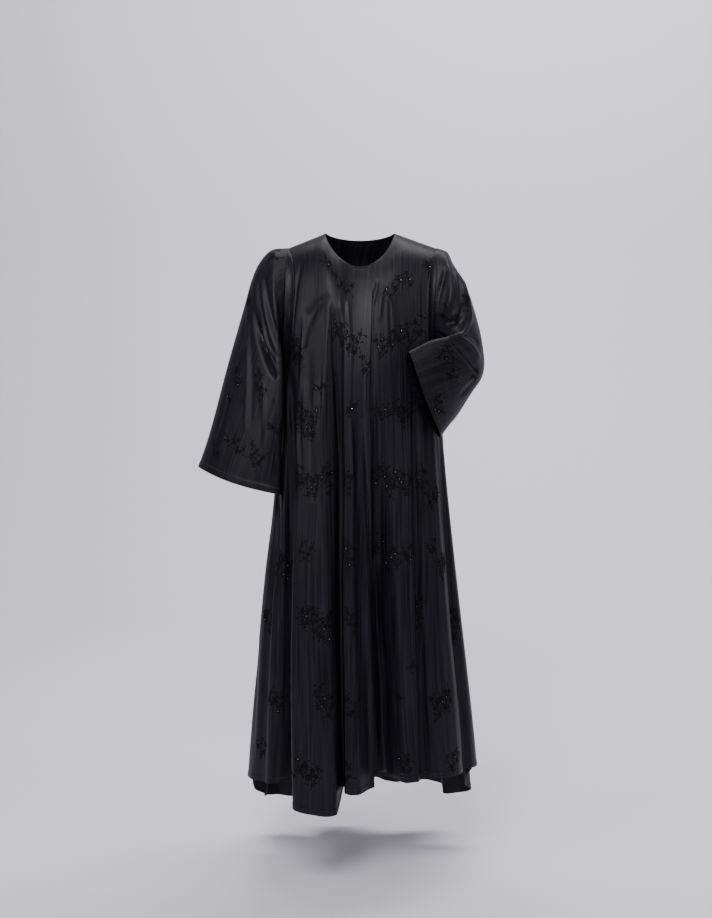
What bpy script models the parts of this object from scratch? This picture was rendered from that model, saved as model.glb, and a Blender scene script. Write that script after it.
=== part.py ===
"""Open-front abaya cloak, worn on a general standing figure and held up at its shoulders.

Five pieces, as they are cut and sewn: two fronts that lap at the centre, a back in one width,
and two wide set-in sleeves, one hanging beside the skirt and one round an arm bent across the
waist. Each is a wall of cloth with the neck, the hem and both cuffs open.

Metres, +Z up. The front faces -Y and the wearer's left is +X. The origin is the middle of the
neck opening, level with the neck ends of the two shoulder seams.
"""
import math

import bpy
from mathutils import Vector

# Driving dimensions
CLOTH = 0.0016              # thickness of every wall
SIDE_SEAM = 0.0004          # half of the gap between a front and the back at the side
SHOULDER_SEAM = 0.0012      # half of the same gap on the shoulder, where the walls lean inwards
ARMHOLE_SEAM = 0.0014       # gap between an armhole and its sleeve, whose walls lean inwards
LAP_LIFT = 0.0034           # how far the upper front stands off the lower one where they lap

NECK_HALF_WIDTH = 0.080     # neck end of a shoulder seam
NECK_FRONT = 0.078          # the neckline's reach forward of the shoulder seams
NECK_BEHIND = 0.050         # and its reach behind them
NECK_DROP_FRONT = 0.082     # how far the neckline falls at the centre front
NECK_DROP_BEHIND = 0.014    # and at the centre back

ARMHOLE_LEVEL = -0.160      # middle of both armholes
ARMHOLE_HALF_HEIGHT = 0.125
ARMHOLE_HALF_DEPTH = 0.066

SQUARENESS = 0.88           # 1 makes the body's rings ellipses, and less makes them squarer
CHEST = -0.335              # level of the first ring that runs whole round the body
HEM = -1.290                # hem level at the side seams

# Angles round the body are in degrees from the centre front, + towards +X and 180 at the back.
NECK_ANGLE = 25.0           # where a neckline ends and a shoulder seam starts
TIP_ANGLE = 54.0            # where a shoulder seam ends and an armhole starts

# Armholes: side, distance of the middle from the centre plane, lean of the top away from it
ARMHOLES = (
    (-1, 0.175, -3.0),
    (1, 0.172, 3.0),
)

# The body of the cloak: level, half width, depth before the side seams, depth behind them, and
# how far its middle hangs towards +X
BODY = (
    (-0.20, 0.178, 0.128, 0.112, 0.000),
    (-0.335, 0.190, 0.137, 0.118, -0.001),
    (-0.45, 0.196, 0.144, 0.126, -0.001),
    (-0.60, 0.204, 0.158, 0.142, 0.001),
    (-0.80, 0.224, 0.180, 0.164, 0.000),
    (-1.00, 0.243, 0.201, 0.184, 0.003),
    (-1.20, 0.262, 0.218, 0.202, 0.006),
    (-1.42, 0.280, 0.232, 0.218, 0.008),
)

# Direction of the cloth at the top edge, by angle from the centre plane: angle, towards the
# centre plane, away from the shoulder seams, down
TOP_SLOPE_FRONT = (
    (0.0, 0.00, 0.30, 1.00),
    (25.0, 0.00, 0.95, 0.30),
    (54.0, 0.32, 0.95, 0.35),
    (63.0, 0.25, 0.40, 0.90),
    (72.0, 0.10, 0.10, 1.00),
    (90.0, 0.00, 0.00, 1.00),
)
TOP_SLOPE_BACK = (
    (0.0, 0.00, 0.55, 0.85),
    (25.0, 0.00, 1.00, 0.22),
    (54.0, 0.34, 0.95, 0.32),
    (63.0, 0.36, 0.50, 0.90),
    (72.0, 0.24, 0.22, 1.00),
    (81.0, 0.10, 0.04, 1.00),
    (90.0, 0.00, 0.00, 1.00),
)

# Hem of each piece: angle, level
HEM_RIGHT = (
    (-90.0, -1.290),
    (-60.0, -1.276),
    (-42.0, -1.266),
    (-35.0, -1.268),
    (-30.5, -1.292),
    (-20.0, -1.303),
    (-9.4, -1.303),
    (-8.2, -1.268),
    (-4.0, -1.268),
    (8.0, -1.262),
)
HEM_LEFT = (
    (-12.0, -1.250),
    (8.0, -1.250),
    (22.0, -1.246),
    (60.0, -1.252),
    (90.0, -1.268),
)
HEM_BACK = (
    (90.0, -1.268),
    (103.0, -1.345),
    (120.0, -1.391),
    (155.0, -1.391),
    (180.0, -1.384),
    (205.0, -1.416),
    (226.0, -1.420),
    (246.0, -1.388),
    (259.0, -1.350),
    (270.0, -1.290),
)

# Folds of the skirt. A fold runs from its start level to the hem, deepens as it falls, and rises
# out of the smooth body (+) or sinks into it (-). It is full between its two brows and dies out
# at its two feet, and both move round the body as the fold falls.
#   name, angles of the foot, brow, brow and foot at the start, the same at the hem, rise at the
#   hem, start level
FOLDS_RIGHT = (
    ("side flute", (-80, -73, -67, -60), (-86, -76, -70, -56), 0.012, -0.55),
    ("small flute", (-66, -61, -58, -54), (-56, -52, -49, -45), 0.008, -0.34),
    ("side hollow", (-57, -52, -49, -45), (-44, -38, -35.5, -32.5), -0.026, -0.34),
    ("great flute", (-47, -43, -24, -15), (-31.8, -28.2, -9.6, -8.0), 0.040, -0.19),
    ("flute crown", (-44, -39, -36, -18), (-31.5, -26, -23, -10), 0.012, -0.34),
    ("deep pleat", (-16.5, -14, -11, -8.8), (-9.6, -8.3, -7.7, -6.6), -0.036, -0.18),
    ("narrow flute", (-10, -8, -5, -3), (-7.4, -6.2, -1.5, 1.5), 0.014, -0.24),
    ("edge roll", (-3.8, -2.2, -0.8, 1.5), (-1.5, 4.5, 8, 12), -0.027, -0.42),
)
FOLDS_LEFT = (
    ("front flute", (20, 26, 31, 35), (14, 19, 23.5, 26), 0.010, -0.45),
    ("front crease", (35, 36.8, 38.2, 42), (24.8, 27.8, 29.4, 34.5), -0.018, -0.32),
    ("broad flute", (40, 44, 56, 64), (31, 38, 50, 61), 0.012, -0.36),
    ("side hollow", (66, 70, 73, 78), (58, 63, 65, 71), -0.012, -0.42),
    ("side flute", (74, 79, 82, 88), (66, 76, 80, 89), 0.010, -0.50),
)
FOLDS_BACK = (
    ("left side hollow", (98, 104, 108, 114), (93, 99, 102, 110), -0.016, -0.60),
    ("left side flute", (108, 115, 119, 126), (105, 112, 115, 122), 0.014, -0.42),
    ("left hollow", (121, 126, 130, 135), (119, 126, 129, 135), -0.026, -0.34),
    ("left flute", (136, 143, 149, 156), (134, 141, 149, 156), 0.030, -0.24),
    ("middle hollow", (159, 165, 169, 175), (158, 164, 169, 176), -0.026, -0.30),
    ("middle flute", (178, 184, 188, 194), (176, 184, 192, 200), 0.026, -0.22),
    ("right hollow", (202, 207, 211, 216), (201, 208, 212, 218), -0.028, -0.32),
    ("right flute", (218, 224, 229, 235), (218, 225, 233, 240), 0.030, -0.26),
    ("right side hollow", (240, 245, 247, 252), (241, 247, 249, 255), -0.018, -0.45),
)

# The lower front falls away behind the upper front's edge: angle where it starts to fall, angle
# where it lies deep, level where it starts to part, level where it has parted, depth
PARTING = (18.5, 10.5, -0.36, -0.90, 0.052)

# Columns of the fronts, from the edge at the centre to the armhole: angle at the neckline or
# shoulder, angle at the hem. They follow the folds.
COLUMNS_RIGHT = (
    (5.8, 4.2),
    (3.6, 1.4),
    (1.0, -1.6),
    (-2.0, -3.8),
    (-5.2, -5.4),
    (-8.0, -6.5),
    (-10.4, -7.6),
    (-12.8, -8.3),
    (-15.0, -9.6),
    (-17.0, -12.0),
    (-19.0, -16.5),
    (-21.0, -21.0),
    (-23.0, -25.0),
    (-25.0, -28.5),
    (-29.8, -31.5),
    (-34.7, -34.5),
    (-39.5, -38.5),
    (-44.4, -43.5),
    (-49.2, -48.5),
    (-54.0, -54.0),
)
COLUMNS_LEFT = (
    (-8.5, -8.0),
    (-4.5, -3.0),
    (0.0, 2.0),
    (4.0, 6.5),
    (7.6, 10.0),
    (11.0, 12.5),
    (14.5, 15.5),
    (18.0, 18.5),
    (21.5, 21.5),
    (25.0, 24.5),
    (29.8, 26.5),
    (34.7, 28.7),
    (39.5, 31.0),
    (44.4, 35.0),
    (49.2, 41.5),
    (54.0, 48.5),
)

# Guide lines of a sleeve. Each row is one station from the armhole to the cuff, and its points
# lie on the overarm, the front, the underarm and the back of the sleeve, with +X outwards.
#   overarm x, y, z, front x, y, z, underarm x, y, z, back x, y, z
HANGING_SLEEVE = (
    (0.208, 0.003, -0.040, 0.188, -0.078, -0.172, 0.192, 0.000, -0.304, 0.193, 0.076, -0.165),
    (0.236, 0.004, -0.069, 0.190, -0.090, -0.208, 0.195, -0.018, -0.325, 0.210, 0.078, -0.190),
    (0.254, 0.004, -0.109, 0.193, -0.099, -0.256, 0.194, -0.042, -0.352, 0.226, 0.074, -0.235),
    (0.271, 0.004, -0.168, 0.200, -0.106, -0.306, 0.190, -0.062, -0.390, 0.238, 0.067, -0.292),
    (0.295, 0.003, -0.249, 0.214, -0.111, -0.364, 0.186, -0.078, -0.435, 0.252, 0.056, -0.360),
    (0.3195, 0.002, -0.334, 0.232, -0.114, -0.429, 0.183, -0.089, -0.486, 0.268, 0.044, -0.431),
    (0.342, 0.001, -0.417, 0.252, -0.117, -0.491, 0.181, -0.096, -0.532, 0.281, 0.038, -0.498),
    (0.363, 0.000, -0.488, 0.270, -0.118, -0.538, 0.181, -0.103, -0.571, 0.294, 0.032, -0.550),
    (0.385, 0.000, -0.550, 0.282, -0.119, -0.578, 0.180, -0.110, -0.604, 0.304, 0.027, -0.593),
)
BENT_SLEEVE = (
    (0.203, 0.003, -0.044, 0.193, -0.076, -0.165, 0.191, 0.000, -0.302, 0.196, 0.076, -0.165),
    (0.221, 0.006, -0.075, 0.206, -0.084, -0.178, 0.195, -0.006, -0.330, 0.220, 0.078, -0.195),
    (0.245, 0.010, -0.112, 0.214, -0.088, -0.194, 0.198, -0.016, -0.350, 0.238, 0.080, -0.240),
    (0.266, 0.012, -0.165, 0.220, -0.092, -0.213, 0.201, -0.028, -0.364, 0.258, 0.078, -0.290),
    (0.284, 0.008, -0.232, 0.220, -0.098, -0.232, 0.203, -0.038, -0.372, 0.272, 0.062, -0.335),
    (0.288, -0.012, -0.296, 0.210, -0.108, -0.243, 0.201, -0.048, -0.376, 0.266, 0.030, -0.360),
    (0.266, -0.058, -0.326, 0.190, -0.124, -0.244, 0.188, -0.066, -0.376, 0.240, -0.010, -0.390),
    (0.208, -0.124, -0.350, 0.154, -0.156, -0.252, 0.156, -0.102, -0.374, 0.212, -0.066, -0.436),
    (0.143, -0.178, -0.374, 0.106, -0.190, -0.276, 0.120, -0.140, -0.372, 0.182, -0.120, -0.470),
)

# How finely each piece is built: columns over an armhole; columns over half the back's neckline
# and a shoulder; rows above and below the chest; columns round a sleeve and rows along it
ARMHOLE_COLUMNS = 8
BACK_COLUMNS = (4, 5, ARMHOLE_COLUMNS)
ROWS_ABOVE = 6
ROWS_BELOW = 15
SLEEVE_COLUMNS = 16
SLEEVE_ROWS = 12

SATIN = (0.010, 0.009, 0.013, 1.0)


def smooth(x):
    """0 below 0, 1 above 1, with a soft start and end between."""
    x = min(max(x, 0.0), 1.0)
    return x * x * (3.0 - 2.0 * x)


def curve_through(keys, rows, key):
    """Numbers at a key, on a smooth curve through rows of numbers that stand at rising keys."""
    last = len(keys) - 1
    key = min(max(key, keys[0]), keys[last])
    i = 0
    while i < last - 1 and key > keys[i + 1]:
        i += 1
    span = keys[i + 1] - keys[i]
    t = (key - keys[i]) / span
    values = []
    for k in range(len(rows[0])):
        def slope(n):
            a, b = max(n - 1, 0), min(n + 1, last)
            return (rows[b][k] - rows[a][k]) / (keys[b] - keys[a])
        p, q = rows[i][k], rows[i + 1][k]
        m, n = slope(i) * span, slope(i + 1) * span
        values.append(p + t * (m + t * (3 * (q - p) - 2 * m - n + t * (2 * (p - q) + m + n))))
    return values


def table_at(table, key):
    """The other columns of a table at a value of its first column."""
    rising = sorted(table)
    return curve_through([row[0] for row in rising], [row[1:] for row in rising], key)


def squared(x, power):
    """A power that keeps the sign."""
    return math.copysign(abs(x) ** power, x)


def body_at(angle, level):
    """Half width, half depth and sideways hang of the smooth body on the side of an angle."""
    half_width, before, behind, hang = table_at(BODY, level)
    return half_width, before if math.cos(math.radians(angle)) > 0 else behind, hang


def body_point(angle, level):
    half_width, depth, hang = body_at(angle, level)
    a = math.radians(angle)
    return Vector((hang + half_width * squared(math.sin(a), SQUARENESS),
                   -depth * squared(math.cos(a), SQUARENESS), level))


def body_outward(angle, level):
    """Level direction square to the smooth body."""
    half_width, depth, _ = body_at(angle, level)
    a = math.radians(angle)
    return Vector((squared(math.sin(a), 2.0 - SQUARENESS) / half_width,
                   -squared(math.cos(a), 2.0 - SQUARENESS) / depth, 0.0)).normalized()


def fold_rise(folds, angle, level):
    """How far the folds of a piece carry it off the smooth body."""
    total = 0.0
    for _, start, hem, rise, start_level in folds:
        fall = min((start_level - level) / (start_level - HEM), 1.0)
        if fall <= 0.0:
            continue
        first, second, third, fourth = (a + (b - a) * fall for a, b in zip(start, hem))
        climb = smooth((angle - first) / (second - first)) * smooth((fourth - angle) / (fourth - third))
        total += rise * math.sin(0.5 * math.pi * fall) ** 0.75 * climb
    return total


def right_rise(angle, level):
    """The upper front: its folds, and the lift that carries its edge over the lower front."""
    lift = LAP_LIFT * smooth((angle + 34.0) / 16.0)
    return fold_rise(FOLDS_RIGHT, angle, level) + lift


def left_rise(angle, level):
    """The lower front: its folds, and the way it falls back behind the upper front's edge."""
    near, deep, top, bottom, depth = PARTING
    parting = depth * smooth((near - angle) / (near - deep)) * smooth((top - level) / (top - bottom))
    return fold_rise(FOLDS_LEFT, angle, level) - parting


def back_rise(angle, level):
    return fold_rise(FOLDS_BACK, angle, level)


def armhole_point(side, clock, away=0.0):
    """Point of an armhole: clock 0 on the shoulder, 90 in front, 180 under the arm."""
    distance, lean = next(row[1:] for row in ARMHOLES if row[0] == side)
    lean = math.radians(lean)
    clock = math.radians(clock)
    up = Vector((side * math.sin(lean), 0.0, math.cos(lean)))
    outward = Vector((side * math.cos(lean), 0.0, -math.sin(lean)))
    middle = Vector((side * distance, 0.0, ARMHOLE_LEVEL))
    across = Vector((0.0, -ARMHOLE_HALF_DEPTH * math.sin(clock), 0.0))
    return middle + up * (ARMHOLE_HALF_HEIGHT * math.cos(clock)) + across + outward * away


def top_edge(angle):
    """Where the column at an angle starts, on the neckline, a shoulder seam or an armhole, and
    which way the cloth leaves it."""
    angle = (angle + 180.0) % 360.0 - 180.0
    side = 1 if angle >= 0.0 else -1
    front = abs(angle) <= 90.0
    facing = -1 if front else 1
    from_middle = abs(angle) if front else 180.0 - abs(angle)
    reach = NECK_FRONT if front else NECK_BEHIND
    drop = NECK_DROP_FRONT if front else NECK_DROP_BEHIND
    tip = armhole_point(side, 0.0)
    if from_middle <= NECK_ANGLE:
        turn = 0.5 * math.pi * from_middle / NECK_ANGLE
        point = Vector((side * NECK_HALF_WIDTH * math.sin(turn),
                        facing * reach * math.cos(turn),
                        -drop * math.cos(turn) ** 1.5))
        seam = facing * SHOULDER_SEAM * math.sin(turn)
    elif from_middle <= TIP_ANGLE:
        along = (from_middle - NECK_ANGLE) / (TIP_ANGLE - NECK_ANGLE)
        point = Vector((side * NECK_HALF_WIDTH, 0.0, 0.0)).lerp(tip, along)
        seam = facing * SHOULDER_SEAM
    else:
        clock = 180.0 * (from_middle - TIP_ANGLE) / (90.0 - TIP_ANGLE)
        point = armhole_point(side, clock if front else -clock)
        seam = facing * SHOULDER_SEAM * 0.5 * (1.0 + math.cos(math.radians(clock)))
    point.y += seam
    inward, away, down = table_at(TOP_SLOPE_FRONT if front else TOP_SLOPE_BACK, from_middle)
    return point, Vector((-side * inward, facing * away, -down)).normalized()


def panel_point(angle, height, hem, rise):
    """Point of a panel. Height runs from 1 at the top edge to 0 at the chest and -1 at the hem."""
    if height <= 0.0:
        level = CHEST + (CHEST - table_at(hem, angle)[0]) * height
        return body_point(angle, level) + body_outward(angle, level) * rise(angle, level)
    top, leaving = top_edge(angle)
    chest = body_point(angle, CHEST)
    arriving = (body_point(angle, CHEST - 0.02) - chest).normalized()
    reach = (top - chest).length
    t = 1.0 - height
    point = (top * (1 + 2 * t) * (1 - t) ** 2 + chest * t * t * (3 - 2 * t)
             + leaving * (reach * t * (1 - t) ** 2) - arriving * (reach * t * t * (1 - t)))
    return point + body_outward(angle, CHEST) * rise(angle, point.z)


def spread(stops, counts):
    """Values from the first stop to the last, each stretch shared out evenly."""
    values = [stops[0]]
    for start, end, count in zip(stops, stops[1:], counts):
        values += [start + (end - start) * (n + 1) / count for n in range(count)]
    return values


def panel_grid(angle_at, columns, hem, rise):
    """Rows of points from the top edge to the hem. angle_at(column, height) places a column."""
    heights = [1.0 - n / ROWS_ABOVE for n in range(ROWS_ABOVE)]
    heights += [-n / ROWS_BELOW for n in range(ROWS_BELOW + 1)]
    return [[panel_point(angle_at(column, height), height, hem, rise) for column in columns]
            for height in heights]


def side_gap(height):
    """Angle that half of the side seam's gap takes up, at a height of a panel."""
    depth = body_at(90.0, CHEST + (CHEST - HEM) * min(height, 0.0))[1]
    return math.degrees(SIDE_SEAM / depth)


def front_grid(side, columns, hem, rise):
    """Grid of one front, from its edge at the centre to its side seam."""
    columns = list(columns)
    top, bottom = columns[-1]
    for n in range(1, ARMHOLE_COLUMNS + 1):
        share = n / ARMHOLE_COLUMNS
        columns.append((top + (side * 90.0 - top) * share, bottom + (side * 90.0 - bottom) * share))

    def angle_at(column, height):
        fall = (1.0 - height) / 2.0
        gap = side_gap(height) * max(abs(column[0]) - TIP_ANGLE, 0.0) / (90.0 - TIP_ANGLE)
        return column[0] + (column[1] - column[0]) * fall - side * gap

    return panel_grid(angle_at, columns, hem, rise)


def back_grid():
    stops = (90.0, 180.0 - TIP_ANGLE, 180.0 - NECK_ANGLE, 180.0,
             180.0 + NECK_ANGLE, 180.0 + TIP_ANGLE, 270.0)
    counts = tuple(reversed(BACK_COLUMNS)) + BACK_COLUMNS

    def angle_at(column, height):
        return column + side_gap(height) * (180.0 - column) / 90.0

    return panel_grid(angle_at, spread(stops, counts), HEM_BACK, back_rise)


def sleeve_station(side, table, along):
    """The four guide points of a sleeve at a place from 0 at the armhole to 1 at the cuff."""
    start = []
    for clock in (0.0, 90.0, 180.0, 270.0):
        point = armhole_point(side, clock, ARMHOLE_SEAM)
        start += [side * point.x, point.y, point.z]
    rows = [start] + [list(row) for row in table]
    numbers = curve_through(list(range(len(rows))), rows, along * (len(rows) - 1))
    return [Vector((side * numbers[n], numbers[n + 1], numbers[n + 2])) for n in (0, 3, 6, 9)]


def sleeve_point(side, table, clock, along):
    """Point of a sleeve on the smooth ring through its four guide points."""
    overarm, front, underarm, back = sleeve_station(side, table, along)
    a = math.radians(clock)
    middle = (overarm + front + underarm + back) / 4.0
    sway = (overarm + underarm - front - back) / 4.0
    return (middle + (overarm - underarm) * (0.5 * math.cos(a))
            + (front - back) * (0.5 * math.sin(a)) + sway * math.cos(2.0 * a))


def sleeve_grid(side, table):
    clocks = [side * 360.0 * n / SLEEVE_COLUMNS for n in range(SLEEVE_COLUMNS)]
    return [[sleeve_point(side, table, clock, row / SLEEVE_ROWS) for clock in clocks]
            for row in range(SLEEVE_ROWS + 1)]


def satin(name):
    material = bpy.data.materials.new(name)
    material.use_nodes = True
    shader = material.node_tree.nodes["Principled BSDF"]
    shader.inputs["Base Color"].default_value = SATIN
    shader.inputs["Roughness"].default_value = 0.42
    shader.inputs["Metallic"].default_value = 0.0
    return material


def cloth_piece(name, grid, closed, flip, collection):
    """One piece of cloth: a sheet over a grid of points, thickened inwards."""
    rows, columns = len(grid), len(grid[0])
    points = [point for row in grid for point in row]
    faces = []
    for r in range(rows - 1):
        for c in range(columns if closed else columns - 1):
            d = (c + 1) % columns
            a, b = r * columns + c, r * columns + d
            e, f = a + columns, b + columns
            if (points[a] - points[f]).length < (points[b] - points[e]).length:
                pair = (a, b, f), (a, f, e)
            else:
                pair = (a, b, e), (b, f, e)
            faces += [face[::-1] for face in pair] if flip else pair
    mesh = bpy.data.meshes.new(name)
    mesh.from_pydata(points, [], faces)
    mesh.shade_smooth()
    piece = bpy.data.objects.new(name, mesh)
    collection.objects.link(piece)
    mesh.materials.append(satin(name + "_satin"))
    wall = piece.modifiers.new("cloth", "SOLIDIFY")
    wall.thickness = CLOTH
    wall.offset = -1.0
    return piece


def build():
    for old in list(bpy.data.objects):
        bpy.data.objects.remove(old)
    collection = bpy.data.collections.new("abaya_cloak")
    bpy.context.scene.collection.children.link(collection)
    right = front_grid(-1, COLUMNS_RIGHT, HEM_RIGHT, right_rise)
    left = front_grid(1, COLUMNS_LEFT, HEM_LEFT, left_rise)
    cloth_piece("front_right", right, False, False, collection)
    cloth_piece("front_left", left, False, True, collection)
    cloth_piece("back", back_grid(), False, True, collection)
    cloth_piece("sleeve_right", sleeve_grid(-1, HANGING_SLEEVE), True, False, collection)
    cloth_piece("sleeve_left", sleeve_grid(1, BENT_SLEEVE), True, False, collection)


build()
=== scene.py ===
"""Looks of the abaya cloak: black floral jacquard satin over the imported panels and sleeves."""
import math
import random

import bpy
import numpy as np
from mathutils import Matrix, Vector


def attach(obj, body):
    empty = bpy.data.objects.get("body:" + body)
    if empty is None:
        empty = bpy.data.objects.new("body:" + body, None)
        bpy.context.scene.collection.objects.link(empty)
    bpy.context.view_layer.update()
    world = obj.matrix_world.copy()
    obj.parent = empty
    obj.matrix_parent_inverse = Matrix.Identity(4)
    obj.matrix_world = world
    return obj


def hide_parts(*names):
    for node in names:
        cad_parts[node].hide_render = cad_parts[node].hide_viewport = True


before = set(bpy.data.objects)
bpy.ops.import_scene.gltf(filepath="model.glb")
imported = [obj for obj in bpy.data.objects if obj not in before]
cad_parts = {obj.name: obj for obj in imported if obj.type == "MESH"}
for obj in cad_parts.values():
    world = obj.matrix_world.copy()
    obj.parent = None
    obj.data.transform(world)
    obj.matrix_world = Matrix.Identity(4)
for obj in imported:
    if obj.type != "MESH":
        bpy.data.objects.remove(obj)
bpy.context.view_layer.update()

# ---------------- sizes of the cloak's form, in metres
CLOTH = 0.0009              # thickness of the satin as it is shown
SIDE_SEAM = 0.0002          # half of the gap at a side seam
SHOULDER_SEAM = 0.0005
ARMHOLE_SEAM = 0.0010
LAP_LIFT = 0.0034           # how far the upper front stands off the lower one
SEAM_TURN = 0.005           # seam allowance turned in along the armholes and the side seams
SEAM_UNDER = 0.0016         # and how far it lies under the piece it is sewn to
SEAM_VALLEY = 0.0010        # how far the cloth sinks at a seam
HEM_TURN = 0.014            # depth of the turned hem, cuffs and front edges
CUFF_TURN = 0.016
EDGE_TURN = 0.012
NECK_TURN = 0.009
HEM_STEP = 0.0007           # how far the cloth stands up over a turned hem or cuff
EDGE_STEP = 0.0004          # and over the turned front edges
TURN_EASE = 0.002           # width over which the cloth rises to a turned edge
STITCH_INSET = 0.0022       # how far inside the end of a turned edge its stitches run
STITCH_PITCH = 0.0034
STITCH_LENGTH = 0.0024
STITCH_WIDTH = 0.00032

NECK_HALF_WIDTH = 0.080
NECK_FRONT = 0.078
NECK_BEHIND = 0.050
NECK_DROP_FRONT = 0.082
NECK_DROP_BEHIND = 0.014
ARMHOLE_LEVEL = -0.160
ARMHOLE_HALF_HEIGHT = 0.125
ARMHOLE_HALF_DEPTH = 0.066
SQUARENESS = 0.88           # 1 makes the body's rings ellipses, and less makes them squarer
CHEST = -0.335              # level of the first ring that runs whole round the body
HEM = -1.290
NECK_ANGLE = 25.0           # degrees from the centre plane where a shoulder seam starts
TIP_ANGLE = 54.0            # and where it meets the armhole


def metres(rows):
    """A table in millimetres, as lists in metres."""
    return [[number / 1000.0 for number in row] for row in rows]


# side, distance of the armhole's middle from the centre plane, lean of its top
ARMHOLES = ((-1, 0.175, -3.0), (1, 0.172, 3.0))

# level, half width, depth before the side seams, depth behind them, hang towards +X
BODY = (
    (-0.20, 0.178, 0.128, 0.112, 0.000),
    (-0.335, 0.190, 0.137, 0.118, -0.001),
    (-0.45, 0.196, 0.144, 0.126, -0.001),
    (-0.60, 0.204, 0.158, 0.142, 0.001),
    (-0.80, 0.224, 0.180, 0.164, 0.000),
    (-1.00, 0.243, 0.201, 0.184, 0.003),
    (-1.20, 0.262, 0.218, 0.202, 0.006),
    (-1.42, 0.280, 0.232, 0.218, 0.008),
)

# angle from the centre plane, and the cloth's direction there: inward, away, down
TOP_SLOPE_FRONT = (
    (0.0, 0.00, 0.30, 1.00),
    (25.0, 0.00, 0.95, 0.30),
    (54.0, 0.32, 0.95, 0.35),
    (63.0, 0.25, 0.40, 0.90),
    (72.0, 0.10, 0.10, 1.00),
    (90.0, 0.00, 0.00, 1.00),
)
TOP_SLOPE_BACK = (
    (0.0, 0.00, 0.55, 0.85),
    (25.0, 0.00, 1.00, 0.22),
    (54.0, 0.34, 0.95, 0.32),
    (63.0, 0.36, 0.50, 0.90),
    (72.0, 0.24, 0.22, 1.00),
    (81.0, 0.10, 0.04, 1.00),
    (90.0, 0.00, 0.00, 1.00),
)

# angle, hem level
HEM_RIGHT = (
    (-90.0, -1.29), (-60.0, -1.276), (-42.0, -1.266), (-35.0, -1.268), (-30.5, -1.292), (-20.0, -1.303),
    (-9.4, -1.303), (-8.2, -1.268), (-4.0, -1.268), (8.0, -1.262),
)
HEM_LEFT = (
    (-12.0, -1.25), (8.0, -1.25), (22.0, -1.246), (60.0, -1.252), (90.0, -1.268),
)
HEM_BACK = (
    (90.0, -1.268), (103.0, -1.345), (120.0, -1.391), (155.0, -1.391), (180.0, -1.384), (205.0, -1.416),
    (226.0, -1.42), (246.0, -1.388), (259.0, -1.35), (270.0, -1.29),
)

# name, angles of foot, brow, brow and foot at the start, the same at the hem, rise at the hem,
# start level
FOLDS_RIGHT = (
    ("side flute", (-80, -73, -67, -60), (-86, -76, -70, -56), 0.012, -0.55),
    ("small flute", (-66, -61, -58, -54), (-56, -52, -49, -45), 0.008, -0.34),
    ("side hollow", (-57, -52, -49, -45), (-46, -38, -35.0, -31.8), -0.034, -0.34),
    ("great flute", (-47, -43, -24, -15), (-31.8, -28.2, -9.6, -8.0), 0.040, -0.19),
    ("flute crown", (-44, -39, -36, -18), (-31.5, -26, -23, -10), 0.012, -0.34),
    ("deep pleat", (-16.5, -14, -11, -8.8), (-9.6, -8.3, -7.7, -6.6), -0.036, -0.18),
    ("narrow flute", (-10, -8, -5, -3), (-7.4, -6.2, -1.5, 1.5), 0.014, -0.24),
    ("edge roll", (-3.8, -2.2, -0.8, 1.5), (-1.5, 4.5, 8, 12), -0.027, -0.42),
)
FOLDS_LEFT = (
    ("front flute", (20, 26, 31, 35), (14, 19, 23.5, 26), 0.010, -0.45),
    ("front crease", (35, 36.8, 38.2, 42), (24.8, 27.8, 29.4, 34.5), -0.018, -0.32),
    ("broad flute", (40, 44, 56, 64), (31, 38, 50, 61), 0.012, -0.36),
    ("side hollow", (66, 70, 73, 78), (58, 63, 65, 71), -0.012, -0.42),
    ("side flute", (74, 79, 82, 88), (66, 76, 80, 89), 0.010, -0.50),
)
FOLDS_BACK = (
    ("left side hollow", (98, 104, 108, 114), (93, 99, 102, 110), -0.016, -0.60),
    ("left side flute", (108, 115, 119, 126), (105, 112, 115, 122), 0.014, -0.42),
    ("left hollow", (121, 126, 130, 135), (119, 126, 129, 135), -0.026, -0.34),
    ("left flute", (136, 143, 149, 156), (134, 141, 149, 156), 0.030, -0.24),
    ("middle hollow", (159, 165, 169, 175), (158, 164, 169, 176), -0.026, -0.30),
    ("middle flute", (178, 184, 188, 194), (176, 184, 192, 200), 0.026, -0.22),
    ("right hollow", (202, 207, 211, 216), (201, 208, 212, 218), -0.028, -0.32),
    ("right flute", (218, 224, 229, 235), (218, 225, 233, 240), 0.030, -0.26),
    ("right side hollow", (240, 245, 247, 252), (241, 247, 249, 255), -0.018, -0.45),
)
# where the lower front falls away behind the upper one: angle where that starts and where it is
# deepest, level where it starts and where it is deepest, depth
PARTING = (18.5, 10.5, -0.36, -0.90, 0.052)

# columns of the fronts: angle at the neckline or shoulder, angle at the hem
COLUMNS_RIGHT = (
    (5.8, 4.2), (3.6, 1.4), (1.0, -1.6), (-2.0, -3.8), (-5.2, -5.4), (-8.0, -6.5), (-10.4, -7.6),
    (-12.8, -8.3), (-15.0, -9.6), (-17.0, -12.0), (-19.0, -16.5), (-21.0, -21.0), (-23.0, -25.0),
    (-25.0, -28.5), (-29.8, -31.5), (-34.7, -34.5), (-39.5, -38.5), (-44.4, -43.5), (-49.2, -48.5),
    (-54.0, -54.0),
)
COLUMNS_LEFT = (
    (-8.5, -8.0), (-4.5, -3.0), (0.0, 2.0), (4.0, 6.5), (7.6, 10.0), (11.0, 12.5), (14.5, 15.5),
    (18.0, 18.5), (21.5, 21.5), (25.0, 24.5), (29.8, 26.5), (34.7, 28.7), (39.5, 31.0), (44.4, 35.0),
    (49.2, 41.5), (54.0, 48.5),
)

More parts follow.
